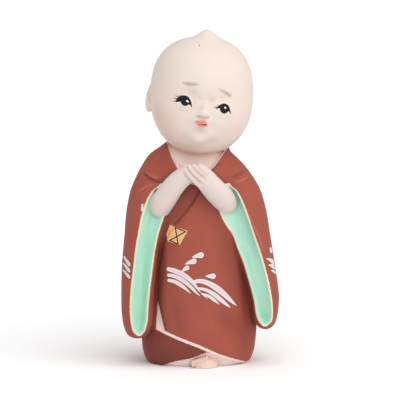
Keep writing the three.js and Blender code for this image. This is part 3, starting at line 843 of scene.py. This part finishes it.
def cloth(p, sizes):
    """Robe and sleeves together."""
    core, coat, hem, panel = robe_layers(p, sizes)
    form = joined(joined(joined(core, coat, 0.2), hem, 0.2), panel, 0.2)
    for side in SLEEVES:
        form = joined(form, sleeve(p, side, sizes), 1.4)
    return form


# ---------------------------------------------------------------------------------------------
# Casting


def block_axes(low, high, grain):
    """Places of the block's cells along each of its sides."""
    return [
        (a + grain * np.arange(math.ceil((b - a) / grain) + 1)).astype(np.float32)
        for a, b in zip(low, high)
    ]


def clay_block(sizes):
    """The cells of the block of clay: distances from the figure's skin, and their axes."""
    grain = sizes.grain / sizes.unit
    axes = block_axes(*BLOCK, grain)
    depth = cloth(np.ix_(*axes), sizes).astype(np.float32)
    for form, (low, high), softness in skin_forms().values():
        room = tuple(
            slice(*np.searchsorted(axis, (a, b))) for axis, a, b in zip(axes, low, high)
        )
        places = np.ix_(*(axis[part] for axis, part in zip(axes, room)))
        depth[room] = joined(depth[room], form(places), softness)
    return np.maximum(depth, -np.ix_(*axes)[2]), axes, grain


def blurred(cells, reach):
    """Mean of the cells in a box round each, along each axis in turn."""
    count = 2 * reach + 1
    for axis in range(3):
        margins = [(reach + 1, reach) if k == axis else (0, 0) for k in range(3)]
        total = np.cumsum(np.pad(cells, margins, mode="edge"), axis=axis, dtype=np.float64)
        far = np.take(total, range(count, total.shape[axis]), axis=axis)
        near = np.take(total, range(0, total.shape[axis] - count), axis=axis)
        cells = ((far - near) / count).astype(np.float32)
    return cells


def sampled(cells, axes, grain, points):
    """Values of a block's cells at points, straight between the cells."""
    start = np.array([axis[0] for axis in axes])
    q = (points - start) / grain
    first = np.clip(np.floor(q).astype(int), 0, np.array(cells.shape) - 2)
    t = q - first
    total = 0
    for corner in np.ndindex(2, 2, 2):
        weight = np.prod([t[:, k] if c else 1 - t[:, k] for k, c in enumerate(corner)], axis=0)
        index = tuple(first[:, k] + c for k, c in enumerate(corner))
        total = total + weight * cells[index]
    return total


def cast_mesh(sizes):
    """The figure's skin as a mesh in units, and the block of clay that it was cast from."""
    depth, axes, grain = clay_block(sizes)
    grid = openvdb.FloatGrid(4 * grain)
    grid.copyFromArray(np.clip(depth / grain, -4, 4).astype(np.float32))
    points, quads = grid.convertToQuads(isovalue=0.0)
    start = np.array([axis[0] for axis in axes])
    points = start + np.asarray(points) * grain
    mesh = bpy.data.meshes.new("cast_clay")
    mesh.from_pydata(points, [], np.asarray(quads))
    mesh.update()
    return mesh, (depth, axes, grain)


def thinned(mesh, faces):
    """The mesh with no more triangles than asked, most of them where it bends."""
    piece = bpy.data.objects.new("thinning", mesh)
    bpy.context.scene.collection.objects.link(piece)
    collapse = piece.modifiers.new("thin", "DECIMATE")
    collapse.ratio = min(1.0, faces / (2 * len(mesh.polygons)))
    collapse.use_collapse_triangulate = True
    shown = piece.evaluated_get(bpy.context.evaluated_depsgraph_get())
    made = bpy.data.meshes.new_from_object(shown)
    bpy.data.objects.remove(piece)
    return made


def positions(mesh):
    """Places of the mesh's vertices, one row each."""
    found = np.empty(len(mesh.vertices) * 3, np.float32)
    mesh.vertices.foreach_get("co", found)
    return found.reshape(-1, 3)


def note(mesh, name, values):
    """Keeps a number at each of the mesh's vertices for the paint to use."""
    attribute = mesh.attributes.new(name, "FLOAT", "POINT")
    attribute.data.foreach_set("value", np.ascontiguousarray(values, np.float32))


def painter_view(points):
    """Where the painter sees points on the figure, across and up, and how far out of reach."""
    x, y, z = points.T
    up = z * math.cos(LOOK_DOWN) + y * math.sin(LOOK_DOWN)
    return x, up, FARTHEST * smooth_step(y, SIDE_START, SIDE_END)


def stroke_distance(seen, strokes, smooth=True):
    """Distance outside the nearest of several brush strokes."""
    nearest = np.full(len(seen[0]), FARTHEST)
    for stroke in strokes:
        marks = np.array(smooth_points(stroke, 4 * len(stroke) - 3) if smooth else stroke)
        low, high = marks.min(0) - FARTHEST, marks.max(0) + FARTHEST
        near = (seen[0] > low[0]) & (seen[0] < high[0]) & (seen[1] > low[1]) & (seen[1] < high[1])
        spots = (seen[0][near], seen[1][near])
        for (ax, az, first), (bx, bz, last) in zip(marks, marks[1:]):
            distance, share = nearest_on_line([(ax, az), (bx, bz)], spots)
            nearest[near] = np.minimum(nearest[near], distance - first - (last - first) * share)
    return nearest


def paint_marks(points):
    """Distance outside each painted mark, for points on the figure."""
    x, up, away = painter_view(points)
    marks = {
        name: stroke_distance((x, up), strokes, name not in STRAIGHT)
        for name, strokes in STROKES.items()
    }
    marks["patch"] = outline_distance(x, up, PATCH)
    eyes = [
        (np.hypot((x - cx) / a, (up - cz) / b) - 1) * min(a, b) for (cx, cz), (a, b) in IRISES
    ]
    marks["iris"] = np.min(eyes, axis=0)
    marks["pupil"] = marks["iris"] + 0.9
    # The shade under the cheek thins out round the side of the head.
    round_side = 0.5 * np.maximum(points[:, 1] + 20, 0)
    marks["jaw_shade"] = np.hypot(np.maximum(marks["jaw_shade"], 0), round_side)
    return {name: distance + away for name, distance in marks.items()}


def refined(mesh):
    """Splits the mesh's longer edges near the painted marks, most where the lines are thinnest."""
    built = bmesh.new()
    built.from_mesh(mesh)
    for _ in range(5):
        built.verts.ensure_lookup_table()
        points = np.array([vertex.co for vertex in built.verts])
        limit = np.full(len(points), FARTHEST)
        for name, distance in paint_marks(points).items():
            if name not in SOFT:
                finest = FINE_EDGE * (THIN_SHARE if name in THIN else 1)
                away = np.maximum(np.abs(distance) - EDGE_BAND, 0)
                limit = np.minimum(limit, finest + EDGE_GROWTH * away)
        long = [
            edge
            for edge in built.edges
            if edge.calc_length() > min(limit[edge.verts[0].index], limit[edge.verts[1].index])
        ]
        if not long:
            break
        bmesh.ops.subdivide_edges(built, edges=long, cuts=1, use_grid_fill=True)
        bmesh.ops.triangulate(built, faces=[face for face in built.faces if len(face.verts) > 3])
    built.to_mesh(mesh)
    built.free()
    return mesh


def mark_regions(mesh, sizes, block):
    """Notes how far each vertex is outside each painted region, in units."""
    points = positions(mesh).astype(np.float64)
    p = tuple(points.T)
    bare = {name: form(p) for name, (form, _, _) in skin_forms().items()}
    core, coat, hem, panel = robe_layers(p, sizes)
    sleeves = [sleeve(p, side, sizes) for side in SLEEVES]
    mouths = [sleeve_mouth(p, side, sizes) for side in SLEEVES]
    robe = np.min([coat, panel, *sleeves], axis=0)
    behind = np.where(p[1] < 0, 0.0, 60.0)
    neck = outline_distance(p[0], p[2], NECK_OPENING)
    chest = np.where((p[2] > CHEST_BOTTOM) & (core < robe), neck + behind, 5)
    note(mesh, "bare_skin", np.minimum(np.min(list(bare.values()), axis=0) - robe, chest))
    note(mesh, "arms", np.min([bare[name] for name in ARMS], axis=0) - 1.5)
    note(mesh, "sleeve_lining", np.min(mouths, axis=0) - 0.4)
    note(mesh, "pale_hem", np.minimum(core, hem) - robe)
    note(mesh, "collar_rim", np.abs(neck - 0.15) - 0.3 + behind)
    # The lower coat is darker in front, and not where a sleeve hangs over it.
    wrap, lining = robe_outlines(p)
    front = 0.4 * (2 * smooth_step(p[1], -16, -2) - 1)
    hanging = 0.8 - np.min(sleeves, axis=0)
    lower = p[2] - UNDER_COAT_TOP
    note(mesh, "under_coat", np.max([-wrap, -lining, lower, front, hanging], axis=0))
    for name, distance in paint_marks(points).items():
        note(mesh, name, distance)
    # How much clay lies round each point, which sets the painted shade: nearby, above 0 in a hollow and
    # below 0 on a proud edge; and farther off, where light reaches less.
    depth, axes, grain = block
    clay = (depth < 0).astype(np.float32)
    share = blurred(clay, max(1, round(HOLLOW_REACH / grain)))
    note(mesh, "hollowness", (sampled(share, axes, grain, points) - 0.5) * 2)
    share = blurred(clay, max(1, round(SHELTER_REACH / grain)))
    note(mesh, "shelter", sampled(share, axes, grain, points))


def settle(mesh, sizes):
    """Centres the cast over its own footprint, on the ground, in metres. Returns the shift."""
    points = positions(mesh)
    low, high = points.min(0), points.max(0)
    shift = np.array([-(low[0] + high[0]) / 2, -(low[1] + high[1]) / 2, -low[2]])
    mesh.vertices.foreach_set("co", ((points + shift) * sizes.unit).astype(np.float32).ravel())
    mesh.update()
    return shift


# ---------------------------------------------------------------------------------------------
# Paint


def add_node(tree, kind, *values, output=0, **settings):
    """Adds a node with its settings, and a value or another node's output on each socket in turn."""
    made = tree.nodes.new(kind)
    for name, value in settings.items():
        setattr(made, name, value)
    for socket, value in zip([socket for socket in made.inputs if socket.enabled], values):
        if isinstance(value, bpy.types.NodeSocket):
            tree.links.new(value, socket)
        else:
            socket.default_value = value
    if isinstance(output, str):
        return made.outputs[output]
    return [socket for socket in made.outputs if socket.enabled][output]


def lay(tree, under, paint, distance, fade, where=1.0):
    """Paint laid over what is there, inside a distance of 0 and fading out round it."""
    cover = add_node(
        tree, "ShaderNodeMath", distance, -0.5 / fade, 0.5, operation="MULTIPLY_ADD", use_clamp=True
    )
    cover = add_node(tree, "ShaderNodeMath", cover, where, operation="MULTIPLY")
    paint = paint if isinstance(paint, bpy.types.NodeSocket) else tuple(paint)
    return add_node(tree, "ShaderNodeMix", cover, under, paint, data_type="RGBA")


def painted_clay(colours, sizes, shift):
    """Matt emulsion brushed on unglazed slip-cast earthenware.

    To the eye it is dry and soft: no gloss, colours that drift a little from patch to patch, painted
    shade in hollows and sheltered places, a painted highlight along some ridges, paint rubbed thin
    on proud edges, and brushed lines that waver.
    """
    material = bpy.data.materials.new("matt_painted_earthenware")
    material.use_nodes = True
    tree = material.node_tree
    tree.nodes.clear()
    number, vector, noise = "ShaderNodeMath", "ShaderNodeVectorMath", "ShaderNodeTexNoise"
    mix, rgb = "ShaderNodeMix", {"data_type": "RGBA"}
    scaled = {"operation": "MULTIPLY_ADD"}

    # Places in units, and the patterns' scales per unit.
    place = add_node(tree, "ShaderNodeTexCoord", output="Object")
    place = add_node(tree, vector, place, (1 / sizes.unit,) * 3, tuple(-shift), **scaled)
    patch_scale, waver_scale, grit_scale = (
        1000 * sizes.unit / width for width in (PATCH_MM, WAVER_MM, GRIT_MM)
    )
    outside = {
        name: add_node(tree, "ShaderNodeAttribute", attribute_name=name, output="Fac")
        for name in (*REGIONS, *STROKES)
    }

    # The brush wavers by up to a quarter of a millimetre.
    uneven = add_node(tree, noise, place, waver_scale, 2.0)
    uneven = add_node(tree, number, uneven, 0.5, -0.25, **scaled)

    # Russet: brushed in soft patches, with painted shade in hollows and sheltered places, and thinner on
    # proud edges.
    patches = add_node(tree, noise, place, patch_scale, 4.0, 0.6)
    hollow, shelter = outside["hollowness"], outside["shelter"]
    # Amounts of painted shade in hollows and in sheltered places, and of rubbing on proud edges.
    deep = add_node(tree, number, hollow, 1.6, -0.05, use_clamp=True, **scaled)
    sheltered_shade = add_node(tree, number, shelter, 2.4, -1.2, use_clamp=True, **scaled)
    proud = add_node(tree, number, hollow, -0.7, -0.2, use_clamp=True, **scaled)
    robe = add_node(tree, mix, patches, tuple(colours.robe_shade), tuple(colours.robe), **rgb)
    robe = lay(tree, robe, colours.robe_dark, outside["under_coat"], 0.4, 0.8)
    robe = add_node(tree, mix, deep, robe, tuple(colours.robe_dark), **rgb)
    robe = add_node(tree, mix, sheltered_shade, robe, tuple(colours.robe_dark), **rgb)
    robe = add_node(tree, mix, proud, robe, tuple(colours.robe_worn_and_highlight), **rgb)
    # Painted shade beside the sleeves and arms and under the hands, painted shade in the creases, and a
    # painted highlight along the ridges.
    robe = lay(tree, robe, colours.robe_dark, outside["robe_shadow"], 8.0, 0.75)
    robe = lay(tree, robe, colours.robe_dark, outside["fold_shade"], 1.1, 0.95)
    robe = lay(tree, robe, colours.robe_worn_and_highlight, outside["ridge_highlight"], 0.7, 0.55)

    # Marks on the robe: a gold patch with black lines; and drops, waves and leaves, each pinkish
    # white with a paler edge and a thin grey-brown outline.
    robe = lay(tree, robe, colours.gold, outside["patch"], 0.15)
    robe = lay(tree, robe, colours.black, outside["patch_cross"], 0.12)
    rim = add_node(tree, number, outside["pale"], 0.42, operation="SUBTRACT")
    robe = lay(tree, robe, colours.outline, rim, 0.25, 0.85)
    robe = lay(tree, robe, colours.edging, outside["pale"], 0.16)
    middle = add_node(tree, number, outside["pale"], 0.5, operation="ADD")
    robe = lay(tree, robe, colours.pale, middle, 0.6)
    robe = lay(tree, robe, colours.edging, outside["dab"], 0.2)

    # Cream hems and rims, and the mint lining of the sleeves, with painted shade deeper in its hollow
    # and along its bottom.
    edge = add_node(tree, number, outside["pale_hem"], uneven, operation="ADD")
    colour = lay(tree, robe, colours.edging, edge, 0.2)
    colour = lay(tree, colour, colours.edging, outside["collar_rim"], 0.2)
    edge = add_node(tree, number, outside["sleeve_lining"], 0.7, operation="SUBTRACT")
    edge = add_node(tree, number, edge, uneven, operation="ADD")
    colour = lay(tree, colour, colours.rim, edge, 0.2)
    lining = add_node(tree, mix, deep, tuple(colours.lining), tuple(colours.lining_shade), **rgb)
    lining = lay(tree, lining, colours.lining_shade, outside["lining_fold_shade"], 1.6, 0.8)
    colour = lay(tree, colour, lining, outside["sleeve_lining"], 0.2)

    # Skin: pale bisque, with rosy brown painted shade in the creases, in sheltered places, under the jaw
    # and between the fingers and toes, and the face painted on. Each paint with how far it fades out,
    # in units, and how thickly it covers.
    skin = add_node(tree, mix, patches, tuple(colours.skin), tuple(colours.skin_warm), **rgb)
    skin = add_node(tree, mix, deep, skin, tuple(colours.skin_shade), **rgb)
    skin = add_node(tree, mix, sheltered_shade, skin, tuple(colours.skin_shade), **rgb)
    for name, paint, fade, strength in (
        ("arms", colours.arms, 1.5, 1.0),
        ("blush", colours.blush, 4.0, 0.32),
        ("jaw_shade", colours.skin_shade, 7.5, 0.85),
        ("foot_tint", colours.foot, 2.0, 0.7),
        ("finger_gap_shade", colours.skin_shade, 0.9, 1.0),
        ("soft_shade", colours.brow, 2.2, 0.2),
        ("nose_shade", colours.brow, 0.8, 0.75),
        ("brow", colours.brow, 0.8, 0.75),
        ("lips", colours.lips, 0.6, 0.95),
        ("mouth_line", colours.mouth_line, 0.2, 1.0),
        ("eye_line", colours.black, 0.14, 1.0),
        ("iris", colours.black, 0.2, 1.0),
        ("pupil", colours.iris, 0.4, 1.0),
        ("glint", colours.glint, 0.15, 1.0),
    ):
        skin = lay(tree, skin, paint, outside[name], fade, strength)
    colour = lay(tree, colour, skin, outside["bare_skin"], 0.2)
    colour = lay(tree, colour, colours.outline, outside["speck"], 0.2)

    # Grit under the dry paint dulls every highlight.
    grit = add_node(tree, noise, place, grit_scale, 3.0)
    bump = add_node(tree, "ShaderNodeBump", 0.25, 0.00012, 0.1, grit)
    shader = add_node(tree, "ShaderNodeBsdfPrincipled", colour, 0.0, 0.75, 1.4)
    tree.links.new(bump, shader.node.inputs["Normal"])
    end = tree.nodes.new("ShaderNodeOutputMaterial")
    tree.links.new(shader, end.inputs["Surface"])
    return material


# ---------------------------------------------------------------------------------------------
# Settings, operators and panel


class FigurineSizes(bpy.types.PropertyGroup):
    height: bpy.props.FloatProperty(
        name="Height",
        description="From the ground to the tip of the crown; everything keeps its proportion to it",
        subtype="DISTANCE",
        unit="LENGTH",
        default=HIGH.z - LOW.z,
        min=0.02,
    )
    layer_step: bpy.props.FloatProperty(
        name="Layer step",
        description="How far each layer of the robe stands outside the one below it",
        subtype="DISTANCE",
        unit="LENGTH",
        default=0.0012,
        min=0.0,
    )
    mouth_depth: bpy.props.FloatProperty(
        name="Mouth depth",
        description="Depth of the hollow in each sleeve's mouth",
        subtype="DISTANCE",
        unit="LENGTH",
        default=0.007,
        min=0.001,
    )
    grain: bpy.props.FloatProperty(
        name="Cell size",
        description="Size of the cells that the clay is modelled in",
        subtype="DISTANCE",
        unit="LENGTH",
        default=0.00055,
        min=0.0003,
    )
    faces: bpy.props.IntProperty(
        name="Triangles",
        description="Triangles of the cast before it is made finer round the painted marks",
        default=110000,
        min=1000,
    )

    @property
    def unit(self):
        return self.height / UNITS_TALL


class FigurineColours(bpy.types.PropertyGroup):
    robe: colour_property("Robe", "Russet paint of the robe", "#a55343")
    robe_shade: colour_property("Robe, thicker", "Russet where the paint lies thicker", "#964838")
    # Painted shade in folds, hollows, creases and sheltered places, and also the darker colour of the
    # layer below.
    robe_dark: colour_property("Robe, in folds", "Red-brown in folds and on the layer below", "#72352a")
    # Paint rubbed thin on proud edges, and also the painted highlight along the robe's ridges.
    robe_worn_and_highlight: colour_property("Robe, on edges", "Russet rubbed thin on proud edges", "#c08272")
    skin: colour_property("Skin", "Pale bisque of face, hands and foot", "#dfd4cd")
    skin_warm: colour_property("Skin, warm", "Peach cast of the bisque", "#e4cfc1")
    # Painted shade on the skin: in creases, sheltered places, under the jaw and between fingers and
    # toes.
    skin_shade: colour_property("Skin, in creases", "Rosy brown in the creases", "#cda394")
    arms: colour_property("Arms", "Greyer bisque of arms and hands", "#dbccc5")
    foot: colour_property("Foot", "Peach of the foot", "#dfb9a8")
    blush: colour_property("Blush", "Pink dabbed on the cheeks", "#ecb3a6")
    brow: colour_property("Brows", "Thin grey-brown of brows and soft shades", "#8d7f76")
    black: colour_property("Black", "Black of eyes and fine lines", "#070606")
    iris: colour_property("Iris", "Charcoal in the middle of the eyes", "#0f0e0e")
    glint: colour_property("Glint", "White dot in the eyes", "#f6f3f0")
    lips: colour_property("Lips", "Coral of the mouth", "#de7463")
    mouth_line: colour_property("Mouth line", "Brown-red line between the lips", "#8c3a30")
    lining: colour_property("Lining", "Mint green inside the sleeves", "#b8e0cc")
    lining_shade: colour_property("Lining, deep", "Mint green at the bottom of the hollow", "#9bd0b5")
    rim: colour_property("Rim", "Cream line round each sleeve's mouth", "#ecd5ba")
    edging: colour_property("Edging", "Pinkish cream of the hems", "#eed7d0")
    gold: colour_property("Gold", "Ochre gold of the sewn patch", "#e2b07c")
    pale: colour_property("Drops and waves", "Pinkish white of drops, waves and leaves", "#d6c8cf")
    outline: colour_property("Outline", "Grey-brown line round the pale marks", "#5c403c")


class FigurineStage(bpy.types.PropertyGroup):
    floor: colour_property("Floor", "Plain pale floor", "#ffffff")
    room_light: bpy.props.FloatProperty(
        name="Room light",
        description="Strength of the even light from all round",
        default=0.6,
        min=0.0,
    )
    key_strength: bpy.props.FloatProperty(
        name="Key light",
        description="Strength of the broad light from the upper right",
        default=1.95,
        min=0.0,
    )
    key_breadth: bpy.props.FloatProperty(
        name="Key breadth",
        description="How wide the key light looks from the figure; wider is softer",
        subtype="ANGLE",
        default=math.radians(75),
    )
    camera_distance: bpy.props.FloatProperty(
        name="Camera distance",
        description="From the camera to the middle of the figure",
        subtype="DISTANCE",
        unit="LENGTH",
        default=4.0,
        min=0.2,
    )
    camera_rise: bpy.props.FloatProperty(
        name="Camera elevation",
        description="How far above the horizon the camera stands",
        subtype="ANGLE",
        default=LOOK_DOWN,
    )


class FIGURINE_OT_cast(bpy.types.Operator):
    """Casts the figure in clay and paints it"""

    bl_idname = "figurine.cast"
    bl_label = "Cast and Paint Figure"

    def execute(self, context):
        sizes, colours = context.scene.figurine_sizes, context.scene.figurine_colours
        mesh, block = cast_mesh(sizes)
        mesh = refined(thinned(mesh, sizes.faces))
        mark_regions(mesh, sizes, block)
        shift = settle(mesh, sizes)
        mesh.shade_smooth()
        mesh.materials.append(painted_clay(colours, sizes, shift))
        piece = bpy.data.objects.new("cast_figure", mesh)
        piece["shift"] = [float(s) for s in shift]
        context.scene.collection.objects.link(piece)
        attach(piece, BODY)
        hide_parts(NODE)
        return {"FINISHED"}


class FIGURINE_OT_stage(bpy.types.Operator):
    """Lays the pale floor and sets the soft studio lights and the camera"""

    bl_idname = "figurine.stage"
    bl_label = "Set Stage"

    def execute(self, context):
        scene, stage = context.scene, context.scene.figurine_stage
        mesh = bpy.data.meshes.new("floor")
        sides = ((-1, -1), (1, -1), (1, 1), (-1, 1))
        corners = [(x * FLOOR_REACH, y * FLOOR_REACH, 0) for x, y in sides]
        mesh.from_pydata(corners, [], [(0, 1, 2, 3)])
        floor = bpy.data.objects.new("floor", mesh)
        # Uncoated white paper, rolled: even and without gloss.
        material = bpy.data.materials.new("matt_paper")
        material.use_nodes = True
        shader = material.node_tree.nodes["Principled BSDF"]
        shader.inputs["Base Color"].default_value = tuple(stage.floor)
        shader.inputs["Roughness"].default_value = 0.9
        mesh.materials.append(material)
        scene.collection.objects.link(floor)

        world = bpy.data.worlds.new("studio")
        world.use_nodes = True
        background = world.node_tree.nodes["Background"]
        background.inputs["Color"].default_value = (1, 1, 1, 1)
        background.inputs["Strength"].default_value = stage.room_light
        scene.world = world
        scene.view_settings.view_transform = "Standard"

        # A very broad light far off at the upper right, so the floor is as bright behind the figure.
        key = bpy.data.lights.new("key", "SUN")
        key.energy = stage.key_strength
        key.angle = stage.key_breadth
        lamp = bpy.data.objects.new("key", key)
        lamp.rotation_mode = "QUATERNION"
        lamp.rotation_quaternion = Vector(KEY_DIRECTION).to_track_quat("Z", "Y")
        scene.collection.objects.link(lamp)

        figure = scene.objects["cast_figure"]
        unit = scene.figurine_sizes.unit
        target = Vector((figure["shift"][0], figure["shift"][1], AIM_HEIGHT)) * unit
        rise = stage.camera_rise
        back = Vector((0, -math.cos(rise), math.sin(rise)))
        camera = bpy.data.objects.new("camera", bpy.data.cameras.new("camera"))
        camera.location = target + back * stage.camera_distance
        camera.rotation_mode = "QUATERNION"
        camera.rotation_quaternion = (-back).to_track_quat("-Z", "Y")
        camera.data.sensor_width = FILM_WIDTH
        camera.data.lens = FILM_WIDTH * stage.camera_distance / (PICTURE_WIDTH * unit)
        scene.collection.objects.link(camera)
        scene.camera = camera
        return {"FINISHED"}


class FIGURINE_PT_panel(bpy.types.Panel):
    bl_idname = "FIGURINE_PT_panel"
    bl_label = "Figurine"
    bl_space_type = "VIEW_3D"
    bl_region_type = "UI"
    bl_category = "Figurine"

    def draw(self, context):
        scene = context.scene
        for group in (scene.figurine_sizes, scene.figurine_colours, scene.figurine_stage):
            box = self.layout.box()
            for name in group.__annotations__:
                box.prop(group, name)
        for operator in OPERATORS:
            self.layout.operator(operator.bl_idname)


OPERATORS = (FIGURINE_OT_cast, FIGURINE_OT_stage)
CLASSES = (FigurineSizes, FigurineColours, FigurineStage, *OPERATORS, FIGURINE_PT_panel)
GROUPS = {
    "figurine_sizes": FigurineSizes,
    "figurine_colours": FigurineColours,
    "figurine_stage": FigurineStage,
}


def register():
    for made in CLASSES:
        bpy.utils.register_class(made)
    for name, group in GROUPS.items():
        setattr(bpy.types.Scene, name, bpy.props.PointerProperty(type=group))


def unregister():
    for name in GROUPS:
        delattr(bpy.types.Scene, name)
    for made in reversed(CLASSES):
        bpy.utils.unregister_class(made)


def main():
    register()
    bpy.ops.figurine.cast()
    bpy.ops.figurine.stage()


if __name__ == "__main__":
    main()
